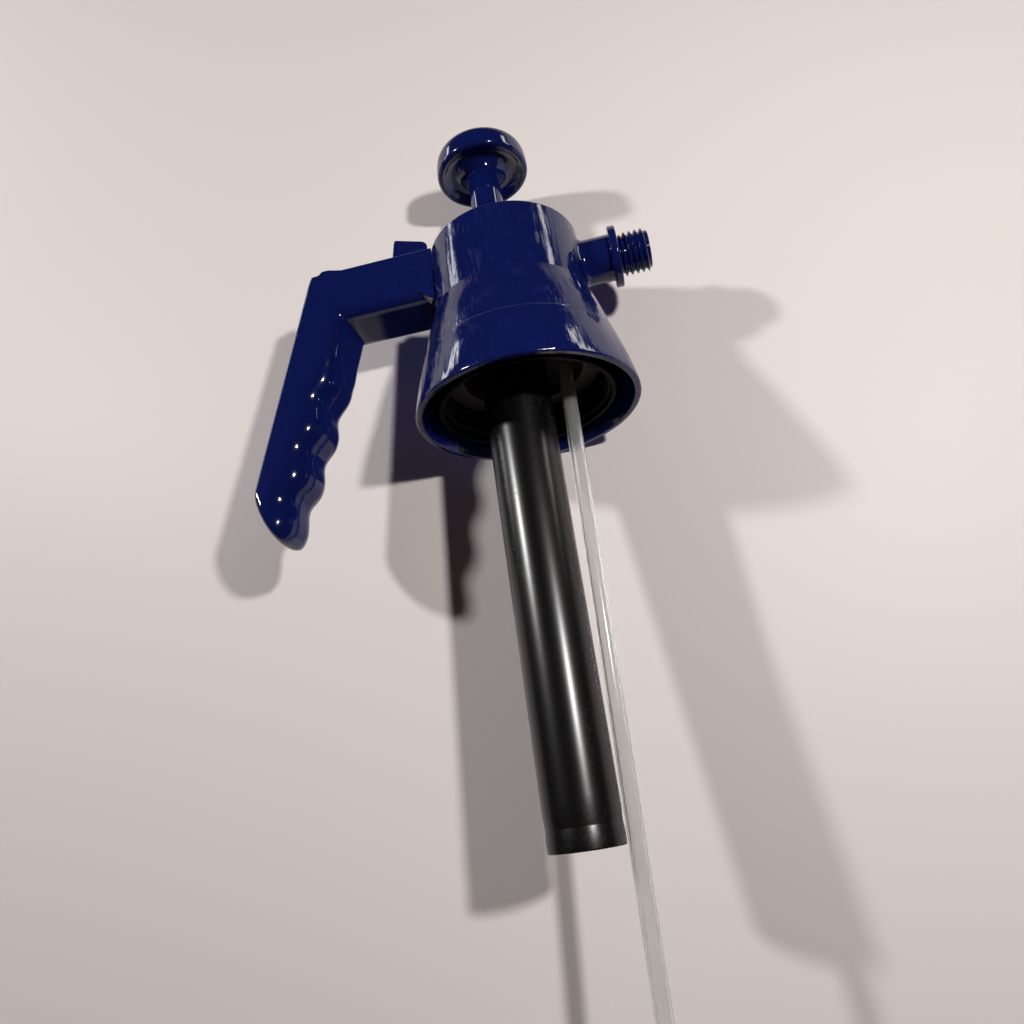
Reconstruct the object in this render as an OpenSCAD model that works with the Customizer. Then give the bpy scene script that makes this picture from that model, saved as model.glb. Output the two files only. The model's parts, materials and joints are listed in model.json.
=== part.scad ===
// Pump and trigger head of a hand-pumped bottle sprayer, millimetres.
// Origin: centre of the bottle neck opening, on the plane of the skirt's lower rim.
// +Z runs up to the knob, -X towards the handle, +X out through the nozzle thread.

/* [Head shell] */
// Outer radius of the skirt at its lower rim
skirt_r = 36; // [34:0.5:40]
// Height of the head shell
head_h = 62.5; // [60:0.5:64]
// Outer radius of the head shell at its top edge
head_top_r = 25.2; // [25:0.1:26]
// Wall thickness of the shell
shell_wall = 1.9; // [1.5:0.1:2.2]
// Height of the upper tier line
upper_line_z = 37.8; // [37:0.1:39]
// Outer radius at the upper tier line
upper_line_r = 26.1; // [25.9:0.1:26.5]
// Height of the lower tier line
lower_line_z = 18.8; // [17:0.1:20]
// Outer radius at the lower tier line
lower_line_r = 31.6; // [31.3:0.1:32.4]

/* [Bottle neck] */
// Root radius of the internal bottle thread
neck_root_r = 27; // [26.5:0.1:27.4]
// Crest radius of the internal bottle thread
neck_crest_r = 26; // [25.5:0.1:26.3]
// Pitch of the internal bottle thread
neck_pitch = 3.2; // [2.8:0.1:3.4]

/* [Air pump] */
// Distance of the pump axis from the head axis, towards the handle
pump_offset = 3.1; // [2.5:0.1:3.5]
// Outer radius of the barrel
barrel_r = 10.7; // [10.5:0.1:10.9]
// Bore radius of the barrel
bore_r = 9.3; // [9:0.1:9.5]
// Height of the barrel's lower end, below the skirt rim
barrel_end_z = -129.4; // [-150:0.1:-110]
// Radius of the plunger rod
rod_r = 5.7; // [5:0.1:6]
// Height of the knob's lower rim with the plunger at rest
knob_rim_z = 96.3; // [90:0.1:110]
// Radius of the knob
knob_r = 16.2; // [15:0.1:18]
// Height of the knob above its rim
knob_h = 9.4; // [8.5:0.1:12]

/* [Nozzle outlet] */
// Height of the outlet axis
outlet_z = 49.8; // [49:0.1:50.5]
// Radius of the outlet boss
boss_r = 7.6; // [7.2:0.1:8]
// Radius of the stop flange
flange_r = 10; // [9:0.05:10.5]
// Crest radius of the nozzle thread
thread_crest_r = 7; // [6.8:0.1:7.2]
// Pitch of the nozzle thread
thread_pitch = 1.85; // [1.7:0.05:2]
// Distance of the outlet's end from the head axis
outlet_end_x = 48; // [47:0.5:50]

/* [Handle] */
// Half the width of the arm and of the grip
handle_half_w = 11.5; // [11:0.1:12]
// Lean of the grip away from the head, in degrees
grip_lean = 16.8; // [14:0.1:19]
// Distance of the grip's outer top corner from the head axis
grip_corner_x = 66.5; // [65:0.5:68]
// Depth of one finger groove
groove_depth = 2.1; // [0.5:0.1:2.5]
// Distance between finger grooves
groove_pitch = 17.2; // [16:0.1:18]

/* [Trigger] */
// Height of the trigger's raised end above the head
trigger_rise = 8.2; // [6:0.1:9]
// Height of the trigger's pivot
trigger_pivot_z = 58; // [57:0.1:58.5]
// Distance of the trigger's pivot from the head axis
trigger_pivot_x = 27.3; // [27.1:0.1:27.5]

/* [Dip tube] */
// Outer radius of the dip tube
tube_r = 2.4; // [2.2:0.1:2.6]
// Height of the dip tube's lower end
tube_end_z = -205; // [-230:1:-180]

/* [Hidden] */
$fn = 96;

blue = [0.04, 0.08, 0.3];
black = [0.05, 0.05, 0.06];
rubber = [0.12, 0.12, 0.12];
clear = [0.8, 0.82, 0.82];
steel = [0.7, 0.7, 0.72];

eps = 0.02;
slip = 0.05;                 // radial clearance of a sliding fit
pump_x = -pump_offset;

// Deck of the inner body, which closes the bottle's mouth
deck_z = 15.5;
deck_t = 3;
neck_wall = 1.4;
collar_r = 12.6;             // tube that carries the barrel
collar_top = head_h - 5;
shell_top_t = 2;
flange_t = 2.4;              // barrel's top flange
shell_hole_r = 13.4;

// Liquid way on the outlet side
riser_x = 13.75;
riser_r = 4;
riser_top = outlet_z - 2.8;
stem_r = 1.5;
link_t = 3;
link_travel = 2;
link_in_r = 14.6;
link_out_r = 17.4;
link_x = pump_x - link_travel / 2;
spigot_x = 17.2;
feed_x = 21.3;               // where the liquid goes up into the spigot
feed_r = 1.2;

// ---------------------------------------------------------------- helpers

// Points on a shallow arc from a to b that stands proud by bulge, without the last one
function arc_between(a, b, bulge, n = 10) =
    let (d = b - a, len = norm(d), out = [-d[1], d[0]] / len)
    [for (i = [0:n - 1]) let (u = i / n) a + u * d - 4 * bulge * u * (1 - u) * out];

// Quarter of a circle about c from angle a0 to a1
function corner(c, r, a0, a1, n = 6) =
    [for (i = [0:n]) let (a = a0 + (a1 - a0) * i / n) c + r * [cos(a), sin(a)]];

function smooth(u) = let (v = max(0, min(1, u))) v * v * (3 - 2 * v);

module ring(r_out, r_in, z0, z1) {
    translate([0, 0, z0])
        difference() {
            cylinder(r = r_out, h = z1 - z0);
            translate([0, 0, -1]) cylinder(r = r_in, h = z1 - z0 + 2);
        }
}

// Everything that lies along the outlet axis is drawn upright and laid over
module along_outlet() {
    translate([0, 0, outlet_z]) rotate([0, 90, 0]) children();
}

module on_pump_axis() {
    translate([pump_x, 0, 0]) children();
}

// ---------------------------------------------------------------- head shell

top_round = 1.4;
tier_step = 0.35;            // each tier ends this much proud of the one above it
rim_band = 3.6;

function shell_outside() = concat(
    [[skirt_r - 0.5, 0]],
    corner([skirt_r - 0.7, 0.7], 0.7, -60, 0, 4),
    arc_between([skirt_r - 0.05, 1.6], [lower_line_r + tier_step, lower_line_z - 0.4], 0.3),
    arc_between([lower_line_r, lower_line_z], [upper_line_r + tier_step, upper_line_z - 0.4], 0.3),
    arc_between([upper_line_r - 0.25, upper_line_z], [head_top_r + 0.05, head_h - top_round], 0.15),
    corner([head_top_r - top_round, head_h - top_round], top_round, 0, 90, 6));

function shell_inside() = [
    [0, head_h],
    [0, head_h - shell_top_t],
    [head_top_r - shell_wall, head_h - shell_top_t],
    [upper_line_r - shell_wall, upper_line_z],
    [lower_line_r - shell_wall, lower_line_z + 0.2],
    [lower_line_r - shell_wall, deck_z - 0.4],
    [skirt_r - rim_band + 0.6, 2.6],
    [skirt_r - rim_band + 1.2, 1]];

module head_shell() {
    color(blue)
    difference() {
        rotate_extrude() polygon(concat(shell_outside(), shell_inside()));
        // opening that the outlet boss passes through
        along_outlet() cylinder(r = boss_r + 0.05, h = skirt_r);
        // slot for the valve link
        translate([-skirt_r, -3.6, outlet_z - link_t / 2 - 0.5]) cube([skirt_r - 12, 7.2, link_t + 1]);
        // hole for the gland, on the pump axis
        on_pump_axis() translate([0, 0, head_h - shell_top_t - 1]) cylinder(r = shell_hole_r, h = 4);
    }
}

// Room for the shell in the parts that sit against it
module head_clearance(off = 0) {
    translate([0, 0, upper_line_z])
        cylinder(r1 = upper_line_r + 0.05 + off, r2 = head_top_r + 0.2 + off, h = head_h - upper_line_z);
}

// ---------------------------------------------------------------- inner body

thread_turns = 3;

module inner_body() {
    color(black)
    difference() {
        union() {
            ring(neck_root_r + neck_wall, neck_root_r, 2.5, deck_z + eps);
            for (i = [0:thread_turns - 1]) {
                translate([0, 0, 4 + i * neck_pitch])
                    rotate_extrude()
                        polygon([[neck_root_r + 0.3, -0.2], [neck_root_r + 0.3, 1.6],
                                 [neck_root_r, 1.6], [neck_crest_r, 1], [neck_crest_r, 0.4],
                                 [neck_root_r, -0.2]]);
            }
            // deck, with an edge that seats in the shell
            translate([0, 0, deck_z]) cylinder(r = lower_line_r - shell_wall - 0.05, h = deck_t);
            on_pump_axis() translate([0, 0, deck_z]) cylinder(r = collar_r, h = collar_top - deck_z);
            translate([riser_x, 0, deck_z]) cylinder(r = riser_r, h = riser_top - deck_z);
            // cradle that ties the riser to the outlet spigot
            translate([riser_x, -3, riser_top - 8]) cube([9.6, 6, 8]);
            // web between riser and pump collar
            translate([pump_x + 10, -1, deck_z]) cube([riser_x - pump_x - 11, 2, riser_top - deck_z - 2]);
        }
        on_pump_axis() translate([0, 0, -1]) cylinder(r = barrel_r + slip, h = head_h);
        // dip tube socket, then the liquid way up and across to the outlet
        translate([riser_x, 0, deck_z - 1]) cylinder(r = tube_r + 0.5, h = 10);
        translate([riser_x, 0, deck_z]) cylinder(r = 1.5, h = riser_top - deck_z - 1.4);
        translate([riser_x, 0, riser_top - 2.7]) rotate([0, 90, 0])
            cylinder(r = feed_r, h = feed_x - riser_x);
        translate([feed_x, 0, riser_top - 2.7]) cylinder(r = feed_r, h = 6);
        // the spigot's inner end sits in the cradle
        along_outlet() translate([0, 0, spigot_x - 0.05]) cylinder(r = 4.65, h = 12);
    }
}

module neck_gasket() {
    color(rubber) ring(neck_crest_r - 0.3, 19.5, deck_z - 1.8, deck_z);
}

// ---------------------------------------------------------------- handle

arm_bottom = 44.2;
arm_round = 4.6;
arm_end_x = -24.2;
arm_wall = 1.8;
slot_outer_x = -39.6;
grip_sections = 44;
grip_len = 86.8;              // along the back, to where the diagonal end is measured from
end_round = 4;

// Groove profile along the grip: 0 on a crest, 1 in a groove
function groove(s) = pow(max(0, 0.5 - 0.5 * cos(360 * (s - 36.6) / groove_pitch)), 1.2)
    * smooth((s - 30) / 10);

// Depth of the grip from its flat back to its crests
function grip_depth(s) = let (d = max(0, s - 36))
    17.6 - 1.5 * smooth((38 - s) / 14) - 0.03 * d - 0.0013 * d * d;

// Radius of the rounded inner edges
function grip_round(s) = 5.2 + 4 * smooth((s - 26) / 14);

// How far the diagonal lower end reaches at depth t
function end_reach(t) = 15.6 * pow(max(t, 0) / 12.3, 0.72) - 7;

// One point of the loft: s runs down the back, t away from it, y across
function grip_point(s, t, y) =
    let (sk = s + smooth((s - 38) / (grip_len - 38)) * end_reach(t))
    [-grip_corner_x - sk * sin(grip_lean) + t * cos(grip_lean), y,
     head_h - sk * cos(grip_lean) - t * sin(grip_lean)];

// Outline of the section at s: flat back, straight sides, rounded and grooved inner face
function grip_section(s, inset) =
    let (shrink = s < grip_len - end_round ? 0
             : end_round * (1 - sqrt(max(0, 1 - pow((s - grip_len + end_round) / end_round, 2)))),
         hw = handle_half_w - inset - 0.9 * shrink,
         depth = grip_depth(s) - inset - 0.7 * shrink,
         back = inset + 0.1 * shrink,
         r = min(grip_round(s), hw - 0.3, depth - back - 1),
         g = groove_depth,
         side = [for (i = [0:10]) let (a = i * 9, t = depth - r + r * sin(a),
                     dip = g * groove(s + smooth((s - 38) / (grip_len - 38)) * end_reach(t))
                         * pow(sin(a), 0.8))
                 [t - dip * sin(a), hw - r + r * cos(a) - dip * cos(a)]])
    concat([[back, hw - 0.9], [back + 0.9, hw]],
        side,
        [for (i = [10:-1:0]) [side[i][0], -side[i][1]]],
        [[back + 0.9, -hw], [back, 0.9 - hw]]);

// Sum of one coordinate over a list of points
function sum_of(points, k) = [for (p = points) p[k]] * [for (p = points) 1];

module grip_loft(inset, s0, s1) {
    n = grip_sections;
    m = len(grip_section(20, inset));
    rings = [for (i = [0:n]) let (s = s0 + (s1 - s0) * (1 - pow(1 - i / n, 1.35)))
        [for (p = grip_section(s, inset)) grip_point(s, p[0], p[1])]];
    // each end closes on its own middle point
    middle_0 = [for (k = [0:2]) sum_of(rings[0], k) / m];
    middle_1 = [for (k = [0:2]) sum_of(rings[n], k) / m];
    points = concat([for (r = rings) each r], [middle_0, middle_1]);
    first = (n + 1) * m;
    faces = concat(
        [for (k = [0:m - 1]) [k, (k + 1) % m, first]],
        [for (i = [0:n - 1], k = [0:m - 1]) let (a = i * m + k, b = i * m + (k + 1) % m)
            each [[a, b + m, b], [a, a + m, b + m]]],
        [for (k = [0:m - 1]) [n * m + k, first + 1, n * m + (k + 1) % m]]);
    polyhedron(points = points, faces = faces);
}

module arm_section(half_w, z0, z1, r) {
    translate([-z1, r - half_w]) square([z1 - z0 - r, 2 * (half_w - r)]);
    translate([-z1, -half_w]) square([z1 - z0 - r, 2 * half_w]);
    for (side = [-1, 1])
        translate([-z0 - r, side * (half_w - r)]) circle(r = r);
    translate([-z0 - r - 0.01, r - half_w]) square([r + 0.01, 2 * (half_w - r)]);
}

module arm_bar(half_w, z0, z1, r, x0, x1) {
    translate([x0, 0, 0]) rotate([0, 90, 0]) linear_extrude(x1 - x0) arm_section(half_w, z0, z1, r);
}

module handle() {
    arm_half_w = handle_half_w - 0.04;   // a hair inside the grip, so their sides don't lie in one plane
    color(blue)
    difference() {
        union() {
            arm_bar(arm_half_w, arm_bottom, head_h + 2, arm_round, -60, arm_end_x + 2.4);
            grip_loft(0, -6, grip_len);
            // gusset under the arm where it meets the head
            rotate([90, 0, 0]) linear_extrude(2 * arm_half_w, center = true)
                polygon([[-29.4, arm_bottom + 2.6], [-22, arm_bottom - 3.6], [-22, arm_bottom + 2.6]]);
        }
        // flat top, which leaves a low ramp for the thumb at the outer corner
        difference() {
            translate([-90, -20, head_h]) cube([80, 40, 20]);
            rotate([90, 0, 0]) linear_extrude(60, center = true)
                polygon([[-62.8, head_h - 1], [-62.6, head_h + 0.7], [-61.6, head_h + 1.3],
                         [-59.5, head_h + 1.2], [-54.5, head_h - 0.2]]);
        }
        // hollow of the arm, open above under the trigger
        arm_bar(handle_half_w - arm_wall, arm_bottom + arm_wall, head_h - arm_wall - 0.2, 3,
                -59, arm_end_x + 5);
        grip_loft(2.2, 12, grip_len - 5);
        translate([slot_outer_x, arm_wall - handle_half_w, head_h - 4])
            cube([20, 2 * (handle_half_w - arm_wall), 8]);
        // end that fits round the head shell
        head_clearance();
        // rounded outer top corner
        translate([-grip_corner_x - 0.6, 0, head_h + 0.4]) rotate([0, 45 - grip_lean / 2, 0])
            cube([3.2, 40, 3.2], center = true);
        // blind bores for the trigger pin
        translate([-trigger_pivot_x, 0, trigger_pivot_z]) rotate([90, 0, 0])
            cylinder(r = 1.5, h = 21.4, center = true);
    }
}

// ---------------------------------------------------------------- trigger

trigger_half_w = handle_half_w - arm_wall - 0.35;

module trigger() {
    outer_top = [-36, head_h + trigger_rise];
    inner_top = [-25, head_h + trigger_rise - 3.3];
    color(blue)
    difference() {
        union() {
            // cap with its sloping top
            rotate([90, 0, 0]) linear_extrude(2 * trigger_half_w, center = true)
                polygon(concat([[-37.5, head_h - 1.4]],
                    corner(outer_top + [0.7, -0.9], 0.8, 168, 100, 3),
                    corner(inner_top + [-0.6, -0.8], 0.8, 75, 0, 3),
                    [[-24.3, head_h + 2.7], [-23.4, head_h + 2.4], [-23.4, trigger_pivot_z - 2.4],
                     [-trigger_pivot_x - 2.6, trigger_pivot_z - 2.4],
                     [-trigger_pivot_x - 3.4, head_h - 1.4]]));
            // leg that pushes the valve link
            translate([-trigger_pivot_x - 3.6, -4, outlet_z - 1.6]) cube([2.6, 8, 8]);
            translate([-trigger_pivot_x - 3.6, -4, outlet_z + 3]) cube([3.8, 8, 4]);
        }
        // hollow underside of the cap
        translate([-35.4, 2 - trigger_half_w, head_h - 3])
            cube([5, 2 * trigger_half_w - 4, trigger_rise + 0.6]);
        // end that fits round the head shell
        translate([0, 0, outlet_z]) cylinder(r = head_top_r + 0.95, h = 24);
        translate([-trigger_pivot_x, 0, trigger_pivot_z]) rotate([90, 0, 0])
            cylinder(r = 1.5 + slip, h = 30, center = true);
    }
}

module trigger_pin() {
    color(steel) translate([-trigger_pivot_x, 0, trigger_pivot_z]) rotate([90, 0, 0])
        cylinder(r = 1.5, h = 21, center = true);
}

// ---------------------------------------------------------------- outlet and valve

boss_x = 23.5;               // the wide part starts inside the shell's opening
fillet = 2;                  // rounding where the boss leaves the shell
fillet_steps = 8;
flange_x = 35.4;
flange_w = 2.5;
thread_root_r = 5.95;
thread_x = 39.3;
outlet_bore_r = 3.9;
seat_x = 26;                 // the washer closes on this face
stop_x = 40;

module outlet_spigot() {
    turns = floor((outlet_end_x - thread_x - 0.4) / thread_pitch) + 1;
    color(blue) {
    // fillet where the boss leaves the shell: each step hugs the shell a little less closely
    difference() {
        for (i = [0:fillet_steps - 1]) {
            a = (i + 0.5) * 90 / fillet_steps;
            intersection() {
                along_outlet() translate([0, 0, boss_x - 3])
                    cylinder(r = boss_r + fillet * (1 - sin(a)), h = 9);
                head_clearance(fillet * (1 - cos(a)) + 0.1);
            }
        }
        head_clearance();
        along_outlet() cylinder(r = boss_r - 0.4, h = skirt_r);
    }
    along_outlet() difference() {
        union() {
            translate([0, 0, spigot_x]) cylinder(r = 4.6, h = 7);
            translate([0, 0, boss_x]) cylinder(r = boss_r, h = flange_x - boss_x + eps);
            translate([0, 0, flange_x]) rotate_extrude()
                polygon(concat([[0, 0]], corner([flange_r - 0.4, 0.4], 0.4, -90, 0, 3),
                    corner([flange_r - 0.4, flange_w - 0.4], 0.4, 0, 90, 3), [[0, flange_w]]));
            translate([0, 0, flange_x + flange_w - eps])
                cylinder(r = thread_root_r, h = outlet_end_x - flange_x - flange_w + eps);
            for (i = [0:turns - 1])
                translate([0, 0, thread_x + i * thread_pitch]) rotate_extrude()
                    polygon([[thread_root_r - 0.3, -0.75], [thread_root_r, -0.75],
                             [thread_crest_r, -0.15], [thread_crest_r, 0.15],
                             [thread_root_r, 0.75], [thread_root_r - 0.3, 0.75]]);
        }
        // stem guide, feed chamber, seat and outlet bore
        translate([0, 0, spigot_x - 1]) cylinder(r = stem_r + slip, h = 6);
        translate([0, 0, spigot_x + 0.8]) cylinder(r = 2.7, h = 1.7);
        translate([0, 0, spigot_x + 3.6]) cylinder(r = 2.9, h = seat_x - spigot_x - 5.2);
        translate([0, 0, seat_x - 2]) cylinder(r = 2.1, h = 3);
        translate([0, 0, seat_x]) cylinder(r = outlet_bore_r, h = outlet_end_x);
        // feed hole from the riser
        translate([2, 0, feed_x]) rotate([0, 90, 0]) cylinder(r = feed_r, h = 6);
    }
    }
}

module valve_link() {
    color(blue) translate([0, 0, outlet_z - link_t / 2])
    difference() {
        union() {
            translate([link_x, 0, 0]) cylinder(r = link_out_r, h = link_t);
            translate([-trigger_pivot_x - 0.5, -3, 0]) cube([12, 6, link_t]);
            translate([link_x + 15, -3, 0]) cube([14.4 - link_x - 15, 6, link_t]);
        }
        translate([link_x, 0, -1]) cylinder(r = link_in_r, h = link_t + 2);
    }
}

module valve_stem() {
    color(steel) along_outlet() {
        translate([0, 0, 14.4]) cylinder(r = stem_r, h = 13.2);
        translate([0, 0, 27.4]) cylinder(r = 3.4, h = 1.6);
        translate([0, 0, 29 - eps]) cylinder(r = 1.3, h = 3);
    }
}

module valve_washer() {
    color(rubber) along_outlet() ring(3.5, stem_r, seat_x + 0.02, 27.4);
}

spring_wire = 0.5;
spring_coil_r = 2.4;
spring_turns = 5;

module valve_spring() {
    rings = spring_turns * 2;
    span = stop_x - 29 - 2 * spring_wire;
    color(steel) along_outlet()
    for (i = [0:rings - 1])
        translate([0, 0, 29 + spring_wire + i * span / (rings - 1)])
            rotate_extrude($fn = 32) translate([spring_coil_r, 0]) circle(r = spring_wire - 0.02, $fn = 16);
}

module spring_stop() {
    color(steel) along_outlet() ring(outlet_bore_r, 1.8, stop_x, stop_x + 1.6);
}

module stem_o_ring() {
    color(rubber) along_outlet() translate([0, 0, spigot_x + 1.65])
        rotate_extrude() translate([2.12, 0]) circle(r = 0.55, $fn = 24);
}

// ---------------------------------------------------------------- air pump

piston_z = -85;              // lower face of the piston at rest
piston_h = 12;
ring_z = piston_z + 6;
ring_wire = 1.15;

module pump_barrel() {
    bead_z = barrel_end_z + 5;
    color(black) on_pump_axis()
    difference() {
        union() {
            translate([0, 0, barrel_end_z]) cylinder(r = barrel_r - 0.35, h = 4);
            translate([0, 0, bead_z - 1.6]) rotate_extrude()
                polygon(concat([[bore_r, 0], [barrel_r - 0.35, 0]],
                    arc_between([barrel_r - 0.35, 0.4], [barrel_r, 2.6], 0.12, 5),
                    [[barrel_r, 2.6], [bore_r, 2.6]]));
            translate([0, 0, bead_z + 1]) cylinder(r = barrel_r, h = collar_top - bead_z - 1 + eps);
            translate([0, 0, collar_top]) cylinder(r = collar_r, h = flange_t);
        }
        translate([0, 0, barrel_end_z - 1]) cylinder(r = bore_r, h = 200);
    }
}

module barrel_seal() {
    color(rubber) on_pump_axis()
        ring(collar_r, bore_r + 1.2, collar_top + flange_t, collar_top + flange_t + 0.7);
}

gland_r = 12.5;
gland_top = head_h + 4;

module gland_nut() {
    z0 = collar_top + flange_t + 0.7;
    flutes = 24;
    color(blue) on_pump_axis()
    difference() {
        union() {
            translate([0, 0, z0]) cylinder(r = gland_r, h = gland_top - z0 - 0.6);
            translate([0, 0, gland_top - 0.6]) rotate_extrude()
                polygon([[0, 0], [gland_r, 0], [gland_r - 0.6, 0.6], [0, 0.6]]);
            // guide that hangs inside the barrel
            translate([0, 0, z0 - 8]) cylinder(r = bore_r - 0.1, h = 8 + eps);
        }
        for (i = [0:flutes - 1])
            rotate([0, 0, i * 360 / flutes]) translate([gland_r + 0.5, 0, head_h + 0.4])
                cylinder(r = 1, h = 6, $fn = 24);
        translate([0, 0, z0 - 9]) cylinder(r = rod_r + slip, h = 30);
        translate([0, 0, gland_top - 2.4]) cylinder(r = 7.6, h = 3);
    }
}

module gland_seal() {
    color(rubber) on_pump_axis() ring(7.6, rod_r + slip, gland_top - 2.4, gland_top - 0.5);
}

module pump_rod() {
    color(blue) on_pump_axis()
        translate([0, 0, piston_z + piston_h - 1])
            cylinder(r = rod_r, h = knob_rim_z + 6 - piston_z - piston_h + 1);
}

function knob_outline() =
    let (zw = 2.6, shoulder = 3.4, rise = knob_h - 0.6 - zw)
    concat(
        // underside, from the hub flaring off the rod, through a shallow dish, to the rounded rim
        [[rod_r, 6], [rod_r, -3]],
        [for (i = [0:10]) let (a = i * 9) [rod_r + 0.35 + 4.6 * (1 - cos(a)), -3 + 5 * sin(a)]],
        [for (i = [1:5]) let (t = i / 5) [rod_r + 4.95 + 3 * t, 2 - 1.35 * t * t]],
        corner([knob_r - 1.3, 1.3], 1.3, 240, 360, 10),
        // side that curves in to a nearly flat top
        [for (i = [0:12]) let (a = i * 7.5)
            [knob_r - shoulder + shoulder * pow(cos(a), 0.75), zw + rise * pow(sin(a), 0.75)]],
        [[8.6, knob_h - 0.25], [4, knob_h - 0.05], [0, knob_h], [0, 6]]);

module knob() {
    color(blue) on_pump_axis() translate([0, 0, knob_rim_z])
        rotate_extrude() polygon(knob_outline());
}

module piston() {
    color(black) on_pump_axis()
    difference() {
        translate([0, 0, piston_z]) cylinder(r = bore_r - 0.3, h = piston_h);
        translate([0, 0, piston_z + piston_h - 1]) cylinder(r = rod_r, h = 2);
        // groove of the piston ring
        translate([0, 0, ring_z - ring_wire - slip])
            ring(bore_r + 1, bore_r - 2 * ring_wire - 0.12, 0, 2 * (ring_wire + slip));
        // relief below, which lightens the moulding
        translate([0, 0, piston_z - 1]) cylinder(r = 4, h = 4);
    }
}

module piston_ring() {
    color(rubber) on_pump_axis() translate([0, 0, ring_z])
        rotate_extrude() translate([bore_r - ring_wire - 0.05, 0]) circle(r = ring_wire, $fn = 32);
}

plug_h = 9;
plug_z = barrel_end_z + 1;

module foot_valve() {
    ports = 6;
    color(black) on_pump_axis()
    difference() {
        translate([0, 0, plug_z]) cylinder(r = bore_r, h = plug_h);
        translate([0, 0, plug_z - 1]) cylinder(r = 7.4, h = plug_h - 0.7);
        for (i = [0:ports - 1])
            rotate([0, 0, i * 360 / ports]) translate([3.6, 0, plug_z]) cylinder(r = 0.9, h = plug_h + 2);
    }
}

disc_z = plug_z + 4.2;

module check_disc() {
    color(rubber) on_pump_axis() translate([0, 0, disc_z + slip]) cylinder(r = 6.6, h = 1.6);
}

module disc_cage() {
    windows = 4;
    color(black) on_pump_axis()
    difference() {
        translate([0, 0, plug_z]) cylinder(r = 7.4, h = 4.2);
        translate([0, 0, plug_z - 1]) cylinder(r = 2, h = 7);
        for (i = [0:windows - 1])
            rotate([0, 0, i * 90]) translate([4.7, 0, plug_z - 1]) cylinder(r = 1.5, h = 7);
    }
}

// ---------------------------------------------------------------- dip tube

tube_top = [riser_x, 0, deck_z + 6];
tube_end_x = 7.8;
tube_end_y = 7.6;

module dip_tube() {
    end = [tube_end_x, tube_end_y, tube_end_z];
    d = end - tube_top;
    length = norm(d);
    color(clear)
    translate(end) rotate([0, acos(-d[2] / length), atan2(-d[1], -d[0])])
    difference() {
        cylinder(r = tube_r, h = length);
        translate([0, 0, -1]) cylinder(r = tube_r - 0.8, h = length + 2);
    }
}

head_shell();
inner_body();
neck_gasket();
handle();
trigger();
trigger_pin();
outlet_spigot();
valve_link();
valve_stem();
valve_washer();
valve_spring();
spring_stop();
stem_o_ring();
pump_barrel();
barrel_seal();
gland_nut();
gland_seal();
pump_rod();
knob();
piston();
piston_ring();
foot_valve();
check_disc();
disc_cage();
dip_tube();
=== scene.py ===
# %% [markdown]
# # Hand-pumped sprayer head
#
# A moulded head with an air pump through its middle: a black barrel hangs below, a plunger
# with a round flat knob stands above, a grip with finger grooves is on one side and a threaded
# outlet on the other. The mechanical model is already packed, so this script only adds looks.

import json
import math

import bmesh
import bpy
from mathutils import Matrix, Vector


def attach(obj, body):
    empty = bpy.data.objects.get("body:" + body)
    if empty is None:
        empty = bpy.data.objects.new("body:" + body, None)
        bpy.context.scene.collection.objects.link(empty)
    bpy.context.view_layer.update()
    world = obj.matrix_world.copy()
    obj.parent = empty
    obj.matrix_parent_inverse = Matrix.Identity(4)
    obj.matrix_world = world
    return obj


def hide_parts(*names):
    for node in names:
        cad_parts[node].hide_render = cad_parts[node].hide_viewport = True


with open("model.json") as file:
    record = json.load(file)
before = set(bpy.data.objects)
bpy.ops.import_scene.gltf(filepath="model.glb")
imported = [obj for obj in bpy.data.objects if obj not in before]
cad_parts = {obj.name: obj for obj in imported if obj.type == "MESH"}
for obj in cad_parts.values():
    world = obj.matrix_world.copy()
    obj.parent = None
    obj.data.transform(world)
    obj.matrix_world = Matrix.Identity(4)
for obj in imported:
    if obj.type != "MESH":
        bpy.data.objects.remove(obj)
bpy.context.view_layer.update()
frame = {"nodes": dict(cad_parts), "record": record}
MM = 0.001       # sizes are in mm, and become metres where a mesh is made
PUMP_X = -3.1    # the pump's axis stands this far off the shell's own axis
OUTLET_Z = 49.8  # height of the outlet's axis

# %% [markdown]
# ## Camera
#
# The head lies on its side on a pale sheet, seen from below and a little to the outlet's side.
# A wide lens close to the object gives the strong perspective, in which the far knob looks
# small. The camera's axes are written out as the three columns of its matrix.

# %% Camera
CAMERA_AT = Vector((25.0, -231.6, -119.6)) * MM
RIGHT = Vector((0.97093, 0.19809, -0.13440))
DOWN = Vector((-0.19379, 0.32083, -0.92710))
AHEAD = Vector((-0.14053, 0.92619, 0.34989))

camera_data = bpy.data.cameras.new("camera")
camera_data.sensor_width = 36
camera_data.lens = 28.73
camera_data.clip_start = 0.01
camera_data.clip_end = 20
camera = bpy.data.objects.new("camera", camera_data)
bpy.context.collection.objects.link(camera)
turn = Matrix((RIGHT, -DOWN, -AHEAD)).transposed()
camera.matrix_world = Matrix.Translation(CAMERA_AT) @ turn.to_4x4()
bpy.context.scene.camera = camera
print("camera is", round((CAMERA_AT - Vector((0, 0, 0.03))).length, 3), "m from the head")

# %% [markdown]
# ## Sheet and lights
#
# The sheet is a plane just behind the skirt, and the head leans on it a little, so the plane
# is nearer to the knob than to the barrel's end. It could be a modelled sheet of card, but
# nothing of it shows except its colour and its soft sheen, so a plane is enough. Seen from
# behind it is clear, so that the views from the back still show the object. Two soft lamps
# stand in front, one on each side, and throw the two shadows. Two tall dim panels at the sides
# give glossy plastic something to reflect, and two wide lamps behind light the back for the
# views from there. The sheet throws no shadow, so it doesn't stop them, and it still hides
# them from the front. The world is a dark, slightly red room.

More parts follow.
